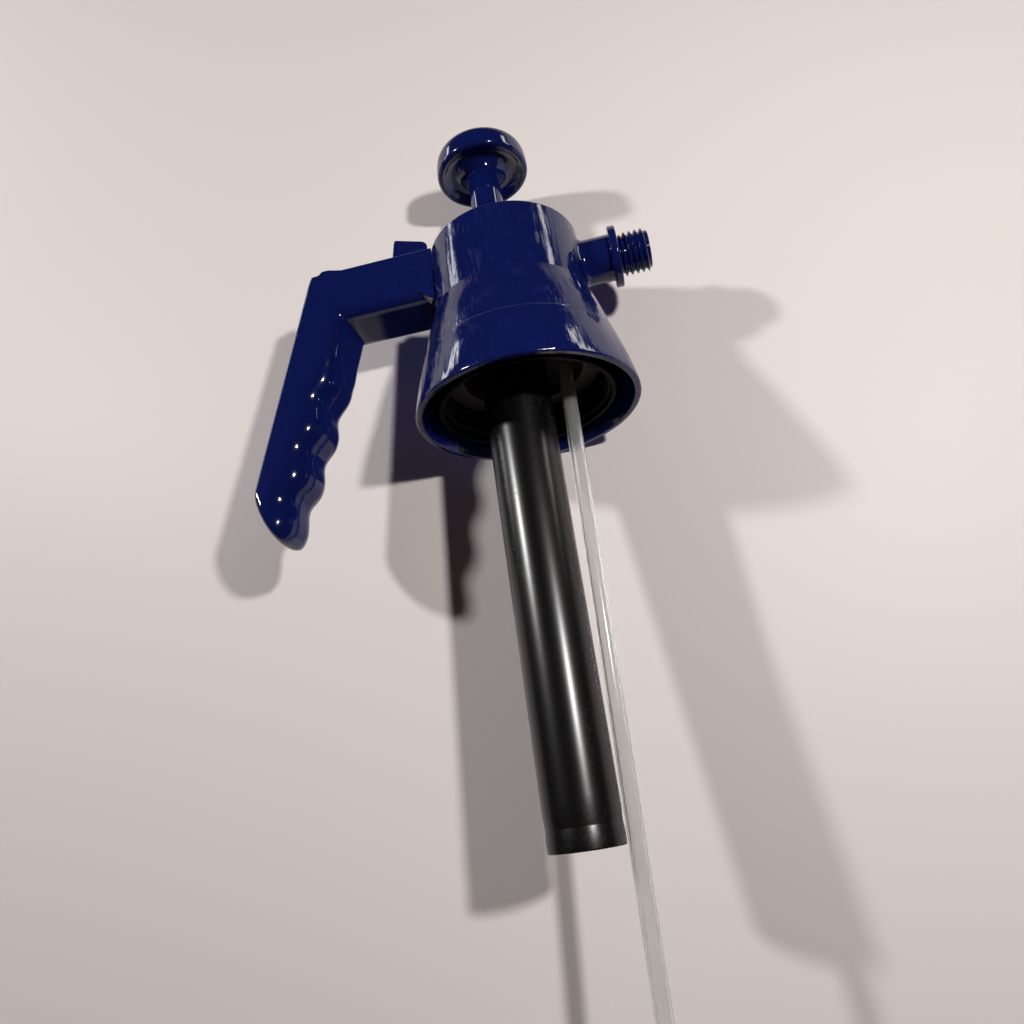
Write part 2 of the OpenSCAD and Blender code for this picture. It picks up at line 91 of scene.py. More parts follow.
# %% Sheet behind the object
def new_material(name):
    material = bpy.data.materials.new(name)
    material.use_nodes = True
    material.node_tree.nodes.clear()
    return material, material.node_tree.nodes, material.node_tree.links


def make_sheet():
    half, behind_rim, lean = 1.6, 36.6 * MM, -0.12
    mesh = bpy.data.meshes.new("sheet")
    ends = ((-half, -half), (half, -half), (half, half), (-half, half))
    corners = [(x, behind_rim + lean * z, z) for x, z in ends]
    mesh.from_pydata(corners, [], [(0, 1, 2, 3)])
    sheet = bpy.data.objects.new("sheet", mesh)
    bpy.context.collection.objects.link(sheet)
    material, nodes, links = new_material("sheet_card")
    output = nodes.new("ShaderNodeOutputMaterial")
    card = nodes.new("ShaderNodeBsdfPrincipled")
    card.inputs["Base Color"].default_value = (0.76, 0.725, 0.705, 1)
    card.inputs["Roughness"].default_value = 0.45
    card.inputs["Specular IOR Level"].default_value = 0.12
    clear = nodes.new("ShaderNodeBsdfTransparent")
    side = nodes.new("ShaderNodeNewGeometry")
    mix = nodes.new("ShaderNodeMixShader")
    links.new(side.outputs["Backfacing"], mix.inputs[0])
    links.new(card.outputs[0], mix.inputs[1])
    links.new(clear.outputs[0], mix.inputs[2])
    links.new(mix.outputs[0], output.inputs["Surface"])
    mesh.materials.append(material)
    sheet.visible_shadow = False
    return sheet


sheet = make_sheet()
print("sheet faces", tuple(round(c) for c in sheet.data.polygons[0].normal))

# %% Lamps and room
def add_lamp(name, at, aim, size, power, colour, tall=None):
    """A round lamp, or, when tall is given, an upright panel that only shows in reflections."""
    lamp_data = bpy.data.lights.new(name, "AREA")
    lamp_data.shape = "RECTANGLE" if tall else "DISK"
    lamp_data.size = size * MM
    if tall:
        lamp_data.size_y = tall * MM
    lamp_data.energy = power
    lamp_data.color = colour
    lamp = bpy.data.objects.new(name, lamp_data)
    bpy.context.collection.objects.link(lamp)
    lamp.visible_diffuse = not tall
    lamp.location = Vector(at) * MM
    lamp.rotation_mode = "QUATERNION"
    lamp.rotation_quaternion = (Vector(aim) * MM - lamp.location).to_track_quat("-Z", "Y")
    return lamp


FRONT_AIM, BACK_AIM = (10, 30, -20), (0, 0, -20)
PANEL_Z, PANEL_TALL = 470, 560
PALE = (1.0, 0.97, 0.95)
add_lamp("lamp_outlet_side", (255, -410, -20), FRONT_AIM, size=30, power=1.8, colour=(1.0, 0.94, 0.91))
add_lamp("lamp_grip_side", (-570, -560, 240), FRONT_AIM, size=60, power=3.8, colour=(1.0, 0.96, 0.95))
add_lamp("panel_grip_side", (-560, -120, PANEL_Z), (0, 0, PANEL_Z), size=70, power=1.0,
         colour=(0.95, 0.95, 1.0), tall=PANEL_TALL)
add_lamp("panel_outlet_side", (560, -150, PANEL_Z), (0, 0, PANEL_Z), size=80, power=1.0,
         colour=PALE, tall=PANEL_TALL)
behind = {"lamp_behind_grip_side": (-420, 620, 330), "lamp_behind_outlet_side": (480, 560, 120)}
for name, at in behind.items():
    lamp = add_lamp(name, at, BACK_AIM, size=260, power=3.6, colour=PALE)
    lamp.visible_glossy = False

world = bpy.data.worlds.new("room")
world.use_nodes = True
world.node_tree.nodes["Background"].inputs["Color"].default_value = (1.0, 0.6, 0.56, 1)
world.node_tree.nodes["Background"].inputs["Strength"].default_value = 0.025
bpy.context.scene.world = world
bpy.context.scene.view_settings.view_transform = "Standard"

# %% [markdown]
# ## Shared surface effects
#
# Moulded and extruded plastic is never perfectly flat: it has a very slight waviness. Handling
# leaves fine scuffs on it, and a mould that was polished along its height leaves upright
# streaks. They could be painted, but then each size of piece would need its own picture, so
# each is a shader node group with named inputs, and each material sets its own amounts.

# %% Group for the waviness of a moulded or extruded skin
def new_group(name, inputs, outputs):
    group = bpy.data.node_groups.new(name, "ShaderNodeTree")
    for label, value, low, high in inputs:
        socket = group.interface.new_socket(label, in_out="INPUT", socket_type="NodeSocketFloat")
        socket.default_value = value
        socket.min_value, socket.max_value = low, high
    for label in outputs:
        group.interface.new_socket(label, in_out="OUTPUT", socket_type="NodeSocketFloat")
    return group, group.nodes.new("NodeGroupInput"), group.nodes.new("NodeGroupOutput")


def math_node(nodes, operation, *values):
    node = nodes.new("ShaderNodeMath")
    node.operation = operation
    for i, value in enumerate(values):
        if isinstance(value, (int, float)):
            node.inputs[i].default_value = value
    return node


def make_waviness_group():
    group, into, out = new_group(
        "skin_waviness",
        [("Cells per metre", 300, 1, 50000), ("Stretch along Z", 1, 0.01, 10), ("Fine share", 0.2, 0, 1)],
        ["Height"])
    nodes, links = group.nodes, group.links
    place = nodes.new("ShaderNodeTexCoord")
    split = nodes.new("ShaderNodeSeparateXYZ")
    links.new(place.outputs["Object"], split.inputs[0])
    squeeze = math_node(nodes, "MULTIPLY")
    links.new(split.outputs["Z"], squeeze.inputs[0])
    links.new(into.outputs["Stretch along Z"], squeeze.inputs[1])
    join = nodes.new("ShaderNodeCombineXYZ")
    links.new(split.outputs["X"], join.inputs["X"])
    links.new(split.outputs["Y"], join.inputs["Y"])
    links.new(squeeze.outputs[0], join.inputs["Z"])
    wide = nodes.new("ShaderNodeTexNoise")
    wide.inputs["Detail"].default_value = 1
    links.new(join.outputs[0], wide.inputs["Vector"])
    links.new(into.outputs["Cells per metre"], wide.inputs["Scale"])
    finer = math_node(nodes, "MULTIPLY", None, 6)
    links.new(into.outputs["Cells per metre"], finer.inputs[0])
    fine = nodes.new("ShaderNodeTexNoise")
    fine.inputs["Detail"].default_value = 2
    links.new(join.outputs[0], fine.inputs["Vector"])
    links.new(finer.outputs[0], fine.inputs["Scale"])
    share = math_node(nodes, "MULTIPLY")
    links.new(fine.outputs["Fac"], share.inputs[0])
    links.new(into.outputs["Fine share"], share.inputs[1])
    total = math_node(nodes, "ADD")
    links.new(wide.outputs["Fac"], total.inputs[0])
    links.new(share.outputs[0], total.inputs[1])
    links.new(total.outputs[0], out.inputs["Height"])
    return group


waviness = make_waviness_group()
print("group", waviness.name, "has inputs",
      [s.name for s in waviness.interface.items_tree if s.in_out == "INPUT"])

# %% Groups for marks that roughen the gloss: slanting scuffs, and upright polishing streaks
def make_marks_group(name, slant, stretch, patches_per_metre, edge):
    """Marks that show where two noises together pass a threshold, with an edge that wide."""
    threshold = 0.3
    group, into, out = new_group(
        name,
        [("Marks per metre", 900, 1, 50000), ("Amount", 0.3, 0, 1),
         ("Clean roughness", 0.12, 0, 1), ("Worn roughness", 0.35, 0, 1)],
        ["Mask", "Roughness"])
    nodes, links = group.nodes, group.links
    place = nodes.new("ShaderNodeTexCoord")
    tilt = nodes.new("ShaderNodeMapping")
    tilt.inputs["Rotation"].default_value = slant
    tilt.inputs["Scale"].default_value = stretch
    links.new(place.outputs["Object"], tilt.inputs["Vector"])
    marks = nodes.new("ShaderNodeTexNoise")
    marks.inputs["Detail"].default_value = 3
    links.new(tilt.outputs[0], marks.inputs["Vector"])
    links.new(into.outputs["Marks per metre"], marks.inputs["Scale"])
    patches = nodes.new("ShaderNodeTexNoise")
    patches.inputs["Scale"].default_value = patches_per_metre
    links.new(place.outputs["Object"], patches.inputs["Vector"])
    both = math_node(nodes, "MULTIPLY")
    links.new(marks.outputs["Fac"], both.inputs[0])
    links.new(patches.outputs["Fac"], both.inputs[1])
    above = nodes.new("ShaderNodeMapRange")
    above.inputs["From Min"].default_value = threshold
    above.inputs["From Max"].default_value = threshold + edge
    links.new(both.outputs[0], above.inputs["Value"])
    mask = math_node(nodes, "MULTIPLY")
    links.new(above.outputs[0], mask.inputs[0])
    links.new(into.outputs["Amount"], mask.inputs[1])
    rough = nodes.new("ShaderNodeMix")
    rough.data_type = "FLOAT"
    links.new(mask.outputs[0], rough.inputs["Factor"])
    links.new(into.outputs["Clean roughness"], rough.inputs["A"])
    links.new(into.outputs["Worn roughness"], rough.inputs["B"])
    links.new(mask.outputs[0], out.inputs["Mask"])
    links.new(rough.outputs["Result"], out.inputs["Roughness"])
    return group


scuffs = make_marks_group("handling_scuffs", slant=(0.5, 0.3, 0.7), stretch=(1, 0.12, 1),
                          patches_per_metre=55, edge=0.12)
streaks = make_marks_group("polishing_streaks", slant=(0, 0, 0), stretch=(1, 1, 0.1),
                           patches_per_metre=140, edge=0.03)
for group in (scuffs, streaks):
    print("group", group.name, "gives",
          [s.name for s in group.interface.items_tree if s.in_out == "OUTPUT"])

# %% [markdown]
# ## Finishes
#
# Each finish is one Principled shader. Its own colour varies a little through the mask of
# scuffs or streaks, its roughness comes from the same group and its bump from the waviness
# group. The numbers that stay the same all over, such as IOR, sit on the shader's own sockets.

# %% A finish from its colours and its surface numbers
def place_group(nodes, group, **values):
    node = nodes.new("ShaderNodeGroup")
    node.node_tree = group
    for label, value in values.items():
        node.inputs[label.replace("_", " ")].default_value = value
    return node


def make_finish(name, colour, scuffed, clean, worn, amount, marks, cells, stretch, fine, bump,
                metallic=0.0, transmission=0.0, ior=1.5, wear=scuffs):
    material, nodes, links = new_material(name)
    output = nodes.new("ShaderNodeOutputMaterial")
    shader = nodes.new("ShaderNodeBsdfPrincipled")
    shader.inputs["Metallic"].default_value = metallic
    shader.inputs["Transmission Weight"].default_value = transmission
    shader.inputs["IOR"].default_value = ior
    marked = place_group(nodes, wear, Marks_per_metre=marks, Amount=amount,
                         Clean_roughness=clean, Worn_roughness=worn)
    waves = place_group(nodes, waviness, Cells_per_metre=cells, Stretch_along_Z=stretch, Fine_share=fine)
    tint = nodes.new("ShaderNodeMix")
    tint.data_type = "RGBA"
    tint.inputs["A"].default_value = (*colour, 1)
    tint.inputs["B"].default_value = (*scuffed, 1)
    links.new(marked.outputs["Mask"], tint.inputs["Factor"])
    links.new(tint.outputs["Result"], shader.inputs["Base Color"])
    links.new(marked.outputs["Roughness"], shader.inputs["Roughness"])
    relief = nodes.new("ShaderNodeBump")
    relief.inputs["Distance"].default_value = 1 * MM
    relief.inputs["Strength"].default_value = bump
    links.new(waves.outputs["Height"], relief.inputs["Height"])
    links.new(relief.outputs[0], shader.inputs["Normal"])
    links.new(shader.outputs[0], output.inputs["Surface"])
    return material


BLUE, BLUE_SCUFFED = (0.003, 0.0075, 0.072), (0.005, 0.0105, 0.084)
blue_gloss = make_finish(
    "blue_gloss", BLUE, BLUE_SCUFFED, clean=0.09, worn=0.16, amount=0.5, marks=700,
    cells=160, stretch=0.35, fine=0.05, bump=0.035)
# the shell's mould was polished along its height, which leaves upright ripples in the gloss
blue_rippled = make_finish(
    "blue_rippled", BLUE, BLUE_SCUFFED, clean=0.08, worn=0.36, amount=0.6, marks=1300,
    cells=330, stretch=0.1, fine=0.12, bump=0.2, wear=streaks)
black_satin = make_finish(
    "black_satin", (0.0022, 0.0022, 0.0026), (0.008, 0.0078, 0.008), clean=0.27, worn=0.36,
    amount=0.5, marks=1100, cells=300, stretch=0.03, fine=0.15, bump=0.02)
# black plastic of the inner body, made darker and less glossy than the barrel's black: partly painted shade,
# so that the lamp-lit rings deep inside the skirt stay dark
black_dull = make_finish(
    "black_dull", (0.0008, 0.0008, 0.001), (0.0012, 0.0012, 0.0014), clean=0.5, worn=0.6,
    amount=0.3, marks=900, cells=300, stretch=1, fine=0.2, bump=0.02, ior=1.13)
rubber = make_finish(
    "rubber", (0.02, 0.02, 0.021), (0.05, 0.05, 0.05), clean=0.6, worn=0.8, amount=0.5,
    marks=600, cells=900, stretch=1, fine=0.5, bump=0.12)
steel = make_finish(
    "steel", (0.56, 0.56, 0.58), (0.4, 0.4, 0.42), clean=0.2, worn=0.38, amount=0.6,
    marks=1500, cells=1500, stretch=0.2, fine=0.4, bump=0.04, metallic=1.0)
milky_tube = make_finish(
    "milky_tube", (0.9, 0.91, 0.91), (0.88, 0.89, 0.9), clean=0.16, worn=0.24, amount=0.2,
    marks=500, cells=120, stretch=0.02, fine=0, bump=0, transmission=0.88, ior=1.35)
finishes = (blue_gloss, blue_rippled, black_satin, black_dull, rubber, steel, milky_tube)
print("finishes:", [m.name for m in finishes])

# %% [markdown]
# ## Turned shapes
#
# Most pieces of a pump are round. A lathe needs a profile: a closed loop of points, each a
# radius and a height. Moulded plastic has no truly sharp edge, so every corner of a profile is
# rounded first, with one extra point on each side that keeps the flat faces flat in shading.

# %% Rounding a profile and turning it
def rounded(profile, radius=0.4, steps=4):
    """Closed profile of (r, z) or (r, z, corner radius), with its corners rounded."""
    nearly_straight = math.radians(172)
    side_share = 0.42  # a corner takes at most this share of the shorter side beside it
    hold = 0.2         # how far past the corner the extra point sits, as a share of its reach
    result = []
    count = len(profile)
    for i, point in enumerate(profile):
        here = Vector(point[:2])
        want = point[2] if len(point) > 2 else radius
        back = Vector(profile[i - 1][:2]) - here
        on = Vector(profile[(i + 1) % count][:2]) - here
        if want <= 0 or point[0] <= 0 or back.length < 1e-6 or on.length < 1e-6:
            result.append(here)
            continue
        angle = back.angle(on)
        if angle > nearly_straight:
            result.append(here)
            continue
        reach = min(want / math.tan(angle / 2), side_share * min(back.length, on.length))
        size = reach * math.tan(angle / 2)
        middle = here + (back.normalized() + on.normalized()).normalized() * size / math.sin(angle / 2)
        start, end = here + back.normalized() * reach, here + on.normalized() * reach
        result.append(start + back.normalized() * reach * hold)
        for k in range(steps + 1):
            way = (start - middle).lerp(end - middle, k / steps)
            result.append(middle + way.normalized() * size)
        result.append(end + on.normalized() * reach * hold)
    return result


def new_piece(name, mesh, material, slot_name, body, *nodes):
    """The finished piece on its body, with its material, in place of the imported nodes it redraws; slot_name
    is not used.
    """
    piece = bpy.data.objects.new(name, mesh)
    bpy.context.collection.objects.link(piece)
    mesh.materials.clear()
    mesh.materials.append(material)
    mesh.set_sharp_from_angle(angle=math.radians(32))
    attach(piece, body)
    if nodes:
        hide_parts(*nodes)
    print(name, len(mesh.polygons), "faces")
    return piece


def turned_mesh(name, profile, segments=160, along_x=False, centre=(PUMP_X, 0.0)):
    """Closed profile in mm, turned about +Z through centre, or about +X at the outlet's height."""
    mesh = bpy.data.meshes.new(name)
    bm = bmesh.new()
    rings = []
    for r, z in profile:
        ring = []
        for k in range(segments if r > 1e-6 else 1):
            a = 2 * math.pi * k / segments
            x, y = r * math.cos(a), r * math.sin(a)
            at = (z, y, OUTLET_Z - x) if along_x else (x + centre[0], y + centre[1], z)
            ring.append(bm.verts.new([c * MM for c in at]))
        rings.append(ring)
    for i, ring in enumerate(rings):
        other = rings[(i + 1) % len(rings)]
        for k in range(segments):
            corners = [ring[k % len(ring)], ring[(k + 1) % len(ring)],
                       other[(k + 1) % len(other)], other[k % len(other)]]
            corners = list(dict.fromkeys(corners))
            if len(corners) > 2:
                bm.faces.new(corners)
    bmesh.ops.recalc_face_normals(bm, faces=bm.faces)
    for face in bm.faces:
        face.smooth = True
    bm.to_mesh(mesh)
    bm.free()
    return mesh


def joined(name, meshes):
    """One mesh that holds all of these, each left as it is."""
    bm = bmesh.new()
    for mesh in meshes:
        bm.from_mesh(mesh)
    mesh = bpy.data.meshes.new(name)
    bm.to_mesh(mesh)
    bm.free()
    return mesh


def loose(name, mesh):
    thing = bpy.data.objects.new(name, mesh)
    bpy.context.collection.objects.link(thing)
    return thing


def cut(mesh, cutters, operation="DIFFERENCE"):
    """The mesh with the cutters' meshes taken away, or joined on."""
    thing = loose("work", mesh)
    helpers = [loose("cutter", c) for c in cutters]
    for helper in helpers:
        modifier = thing.modifiers.new("cut", "BOOLEAN")
        modifier.operation = operation
        modifier.solver = "EXACT"
        modifier.object = helper
    graph = bpy.context.evaluated_depsgraph_get()
    result = bpy.data.meshes.new_from_object(thing.evaluated_get(graph))
    for helper in [thing] + helpers:
        bpy.data.objects.remove(helper)
    return result


def box_mesh(name, low, high):
    mesh = bpy.data.meshes.new(name)
    bm = bmesh.new()
    bmesh.ops.create_cube(bm, size=1)
    for v in bm.verts:
        v.co = [MM * (low[i] if v.co[i] < 0 else high[i]) for i in range(3)]
    bm.to_mesh(mesh)
    bm.free()
    return mesh


print("a rounded square has", len(rounded([(1, 0), (2, 0), (2, 1), (1, 1)], 0.2)), "points")

# %% [markdown]
# ## Head shell
#
# The shell is one glossy moulding in three tiers, each tier ending in a thin step that catches
# the light. It could be cut from a cone, but the faintly bulged walls only come out right as a
# turned profile. The wall is real: the inside is part of the same loop. The outlet, the gland
# and the valve link each get their opening, cut with a Boolean.

# %% Head shell
def bulged(a, b, bulge, steps=9):
    """Points from a to b on a shallow curve that stands out by bulge at its middle."""
    a, b = Vector(a), Vector(b)
    d = b - a
    out = Vector((d.y, -d.x)).normalized()
    return [tuple(a + d * u + out * 4 * bulge * u * (1 - u)) for u in (k / steps for k in range(steps + 1))]


SHELL_TOP, TOP_R = 62.5, 25.2
UPPER_Z, UPPER_R = 37.8, 26.1
LOWER_Z, LOWER_R = 18.8, 31.6
RIM_R = 36.0
STEP = 0.35


def shell_profile():
    """Outside from the rim up, then inside from the top down."""
    wall, step_down = 1.9, 0.4
    lower_step, upper_step = LOWER_R + STEP, UPPER_R + STEP
    tiers = [((RIM_R - 0.05, 1.6), (lower_step + 0.06, LOWER_Z - 0.75), 0.3),
             ((LOWER_R - 0.1, LOWER_Z + step_down), (upper_step + 0.1, UPPER_Z - 0.75), 0.3),
             ((UPPER_R - 0.26, UPPER_Z + step_down), (TOP_R + 0.07, SHELL_TOP - 1.8), 0.15)]
    edges = [[(lower_step, LOWER_Z - step_down, 0.22), (LOWER_R, LOWER_Z, 0.25)],
             [(upper_step, UPPER_Z - step_down, 0.22), (UPPER_R - 0.25, UPPER_Z, 0.25)],
             [(TOP_R, SHELL_TOP, 1.5)]]
    outside = [(RIM_R - 2, 0.0, 0.5), (RIM_R, 0.0, 0.7)]
    for (low, high, bulge), edge in zip(tiers, edges):
        outside += [(*p, 0.0) for p in bulged(low, high, bulge)] + edge
    inside = [(0, SHELL_TOP), (0, SHELL_TOP - 2),
              (TOP_R - wall, SHELL_TOP - 2, 0.8), (UPPER_R - wall, UPPER_Z, 0.5),
              (LOWER_R - wall, LOWER_Z + 0.2, 0.5), (LOWER_R - wall, 15.1, 0.5),
              (RIM_R - 3, 2.6, 0.4), (RIM_R - 2.4, 1.0, 0.3)]
    return rounded(outside + inside)


def tube_cutter(radius, low, high, along_x=False, centre=(PUMP_X, 0.0), segments=128):
    loop = [(0, low), (radius, low), (radius, high), (0, high)]
    return turned_mesh("cutter", [Vector(p) for p in loop], segments, along_x, centre)


MID = (0.0, 0.0)  # the shell's own axis
BOSS_R = 7.6      # of the outlet's boss, which its opening clears by a hair
shell_holes = [tube_cutter(BOSS_R + 0.05, 12, 40, along_x=True),          # outlet
               tube_cutter(13.4, SHELL_TOP - 4, SHELL_TOP + 4),           # gland
               box_mesh("slot", (-40, -3.6, 47.8), (-16, 3.6, 51.8))]     # valve link
shell_mesh = cut(turned_mesh("head_shell", shell_profile(), 288, centre=MID), shell_holes)
new_piece("head_shell_moulding", shell_mesh, blue_rippled, "blue_plastic", "root", "head_shell")

# %% [markdown]
# ## Threads by Geometry Nodes
#
# Both threads are true right-handed helices. A screw could be swept with a curve, but then it
# would only rest on the surface. Here the turned surface is made with many rings, and a node
# tree moves each point in or out by how far it lies along the helix, so thread and wall are
# one skin. A thread grows to its full height within the first half turn and fades the same
# way at its end.

# %% How every geometry tree starts and ends
def new_tree(name, sizes, counts=(), takes_mesh=True):
    """A tree with named sizes and counts, a material input and a geometry output."""
    tree = bpy.data.node_groups.new(name, "GeometryNodeTree")
    inputs = [("Geometry", "NodeSocketGeometry")] if takes_mesh else []
    inputs += [(label, "NodeSocketFloat") for label in sizes]
    inputs += [(label, "NodeSocketInt") for label in counts]
    inputs += [("Material", "NodeSocketMaterial")]
    for label, kind in inputs:
        tree.interface.new_socket(label, in_out="INPUT", socket_type=kind)
    tree.interface.new_socket("Geometry", in_out="OUTPUT", socket_type="NodeSocketGeometry")
    return tree, tree.nodes.new("NodeGroupInput"), tree.nodes.new("NodeGroupOutput")


def end_tree(tree, shape, into, out):
    """Makes instances real, sets the material on every face and hands the result out."""
    nodes, links = tree.nodes, tree.links
    real = nodes.new("GeometryNodeRealizeInstances")
    links.new(shape, real.inputs[0])
    paint = nodes.new("GeometryNodeSetMaterial")
    links.new(real.outputs[0], paint.inputs["Geometry"])
    links.new(into.outputs["Material"], paint.inputs["Material"])
    links.new(paint.outputs[0], out.inputs[0])
    return tree


# %% Node tree that raises a thread on a turned surface
def thread_tree():
    fade_rate = 2.5       # full height is reached after 1 / 2.5 of a turn
    wall_slack = 0.06 * MM
    tree, into, out = new_tree("raise_thread", [
        "Pitch", "Height", "Start", "End", "Wall radius", "Crest share", "Flank share", "Along X"])
    nodes, links = tree.nodes, tree.links

    def calc(operation, *values, clamp=False):
        node = nodes.new("ShaderNodeMath")
        node.operation = operation
        node.use_clamp = clamp
        for i, value in enumerate(values):
            if isinstance(value, (int, float)):
                node.inputs[i].default_value = value
            else:
                links.new(value, node.inputs[i])
        return node.outputs[0]

    place = nodes.new("GeometryNodeInputPosition")
    split = nodes.new("ShaderNodeSeparateXYZ")
    links.new(place.outputs[0], split.inputs[0])
    x, y, z = split.outputs
    pitch, flank = into.outputs["Pitch"], into.outputs["Flank share"]
    laid = into.outputs["Along X"]
    upright = calc("SUBTRACT", 1, laid)

    def pick(when_laid, when_upright):
        return calc("ADD", calc("MULTIPLY", when_laid, laid), calc("MULTIPLY", when_upright, upright))

    up = calc("SUBTRACT", z, OUTLET_Z * MM)
    # across and second are the two directions at right angles to the axis
    across, second, along = pick(y, x), pick(up, y), pick(x, z)
    turns = calc("DIVIDE", calc("ARCTAN2", second, across), 2 * math.pi)
    # a hundred whole turns are added, so that the fraction is of a positive number
    phase = calc("FRACT", calc("ADD", calc("SUBTRACT", calc("DIVIDE", along, pitch), turns), 100))
    off = calc("ABSOLUTE", calc("SUBTRACT", phase, 0.5))
    foot = calc("ADD", into.outputs["Crest share"], flank)
    ridge = calc("DIVIDE", calc("SUBTRACT", foot, off), flank, clamp=True)
    begins = calc("DIVIDE", calc("SUBTRACT", along, into.outputs["Start"]), pitch, clamp=True)
    ends = calc("DIVIDE", calc("SUBTRACT", into.outputs["End"], along), pitch, clamp=True)
    fade = calc("MULTIPLY", calc("MULTIPLY", begins, fade_rate, clamp=True),
                calc("MULTIPLY", ends, fade_rate, clamp=True))
    radius = calc("SQRT", calc("ADD", calc("MULTIPLY", across, across), calc("MULTIPLY", second, second)))
    # only points on the threaded wall move
    off_wall = calc("ABSOLUTE", calc("SUBTRACT", radius, into.outputs["Wall radius"]))
    near = calc("LESS_THAN", off_wall, wall_slack)
    lift = calc("MULTIPLY", calc("MULTIPLY", calc("MULTIPLY", ridge, fade), near), into.outputs["Height"])
    grown = calc("DIVIDE", calc("ADD", radius, lift), radius)
    move = nodes.new("GeometryNodeSetPosition")
    join = nodes.new("ShaderNodeCombineXYZ")
    # x grows with the radius only when the axis is upright; z only when it is laid over
    grown_x = calc("MULTIPLY", x, grown)
    grown_z = calc("ADD", calc("MULTIPLY", up, grown), OUTLET_Z * MM)
    links.new(pick(x, grown_x), join.inputs[0])
    links.new(calc("MULTIPLY", y, grown), join.inputs[1])
    links.new(pick(grown_z, z), join.inputs[2])
    links.new(into.outputs["Geometry"], move.inputs["Geometry"])
    links.new(join.outputs[0], move.inputs["Position"])
    return end_tree(tree, move.outputs[0], into, out)


def run_tree(mesh, tree, **values):
    """The mesh that the tree makes from this one, with its inputs set by identifier."""
    thing = loose("work", mesh)
    modifier = thing.modifiers.new("make", "NODES")
    modifier.node_group = tree
    for item in tree.interface.items_tree:
        key = item.name.replace(" ", "_")
        if item.in_out == "INPUT" and key in values:
            modifier[item.identifier] = values[key]
    graph = bpy.context.evaluated_depsgraph_get()
    graph.update()
    result = bpy.data.meshes.new_from_object(thing.evaluated_get(graph))
    thing.modifiers.remove(modifier)
    bpy.data.objects.remove(thing)
    return result


raise_thread = thread_tree()
print("thread tree:", len(raise_thread.nodes), "nodes")

# %% [markdown]
# ## Outlet
#
# A short boss leaves the shell, carries a stop flange, and ends in the thread that takes the
# spray nozzle. The threaded length gets a ring every tenth of a millimetre, because the node
# tree can only shape points that are there. The fillet at the boss's root could be a turned
# ring, but that would stand off the round shell at both sides. So each of its rows is placed
# at a set distance from the shell's cone, and the row sinks and rises with it.

# %% Outlet spigot
THREAD_FROM, OUTLET_END, OUTLET_ROOT_R = 38.2, 48.0, 5.95
FLANGE_R, FLANGE_FROM, FLANGE_TO = 10, 35.4, 37.9


def spigot_profile():
    bore, seat, ring, seal_room, stem = 3.9, 2.1, 0.1, 2.9, 1.55
    stub_r, stub_from, boss_from = 4.6, 17.2, 23.5
    points = [(stub_r, stub_from, 0.3), (stub_r, boss_from, 0.0), (BOSS_R, boss_from, 0.2),
              (BOSS_R, FLANGE_FROM, 0.35), (FLANGE_R, FLANGE_FROM, 0.4), (FLANGE_R, FLANGE_TO, 0.45),
              (OUTLET_ROOT_R, FLANGE_TO, 0.25)]
    steps = int((OUTLET_END - THREAD_FROM - 0.5) / ring)
    points += [(OUTLET_ROOT_R, THREAD_FROM + ring * k, 0.0) for k in range(steps + 1)]
    points += [(OUTLET_ROOT_R, OUTLET_END, 0.45), (bore, OUTLET_END, 0.3), (bore, 26.0, 0.2),
               (seat, 26.0, 0.15), (seat, 24.0, 0.1), (seal_room, 24.0, 0.1), (seal_room, 20.8, 0.1),
               (stem, 20.8, 0.1), (stem, stub_from, 0.1)]
    return rounded(points)


def boss_fillet(radius=2.0, rows=10, around=200):
    """Ring round the boss whose outer face runs from the shell's surface into the boss."""
    gap, sunk = 0.1, 0.3  # off the shell's cone, and into the boss
    section = [(BOSS_R - sunk, gap), (BOSS_R + radius, gap)]
    section += [(BOSS_R + radius * (1 - math.sin(a)), gap + radius * (1 - math.cos(a)))
                for a in (math.radians(90 * (k + 0.5) / rows) for k in range(rows))]
    section += [(BOSS_R + 0.01, gap + radius), (BOSS_R - sunk, gap + radius)]
    taper = (UPPER_R - TOP_R) / (SHELL_TOP - UPPER_Z)
    bm = bmesh.new()
    rings = []
    for out, off in section:
        ring = []
        for k in range(around):
            a = 2 * math.pi * k / around
            y, z = out * math.cos(a), OUTLET_Z + out * math.sin(a)
            shell_r = UPPER_R - taper * (z - UPPER_Z)
            ring.append(bm.verts.new([c * MM for c in (math.sqrt((shell_r + off) ** 2 - y * y), y, z)]))
        rings.append(ring)
    for ring, other in zip(rings, rings[1:] + rings[:1]):
        for k in range(around):
            n = (k + 1) % around
            bm.faces.new((ring[k], ring[n], other[n], other[k])).smooth = True
    bmesh.ops.recalc_face_normals(bm, faces=bm.faces)
    mesh = bpy.data.meshes.new("boss_fillet")
    bm.to_mesh(mesh)
    bm.free()
    return mesh


spigot_mesh = run_tree(
    turned_mesh("outlet", spigot_profile(), 200, along_x=True), raise_thread,
    Pitch=1.85 * MM, Height=1.05 * MM, Start=(THREAD_FROM + 0.1) * MM, End=(OUTLET_END - 0.3) * MM,
    Wall_radius=OUTLET_ROOT_R * MM, Crest_share=0.09, Flank_share=0.32, Along_X=1.0, Material=blue_gloss)
new_piece("outlet_moulding", joined("outlet", [spigot_mesh, boss_fillet()]), blue_gloss,
          "blue_plastic", "root", "outlet_spigot")

# %% [markdown]
# ## Plunger
#
# The knob is a thick button: a nearly flat top, a curved side, a rounded rim, and an underside
# that is a shallow dish and sweeps down into a hub round the rod. It could be a cylinder with
# a bevel, but the side and the dish each curve in their own way, so one turned profile makes
# all of it. The rod is a second piece, because the knob is pressed onto it.

# %% Knob and rod
KNOB_Z, KNOB_R, KNOB_H = 96.3, 16.2, 9.4  # its rim's height, its radius, its height above the rim
ROD_R, ROD_END = 5.7, -74


def quarter(steps, shift=0.0):
    """Angles in radians that cover a quarter turn in equal steps, from a shift of one step."""
    return [math.radians(90 * (k + shift) / steps) for k in range(steps)]


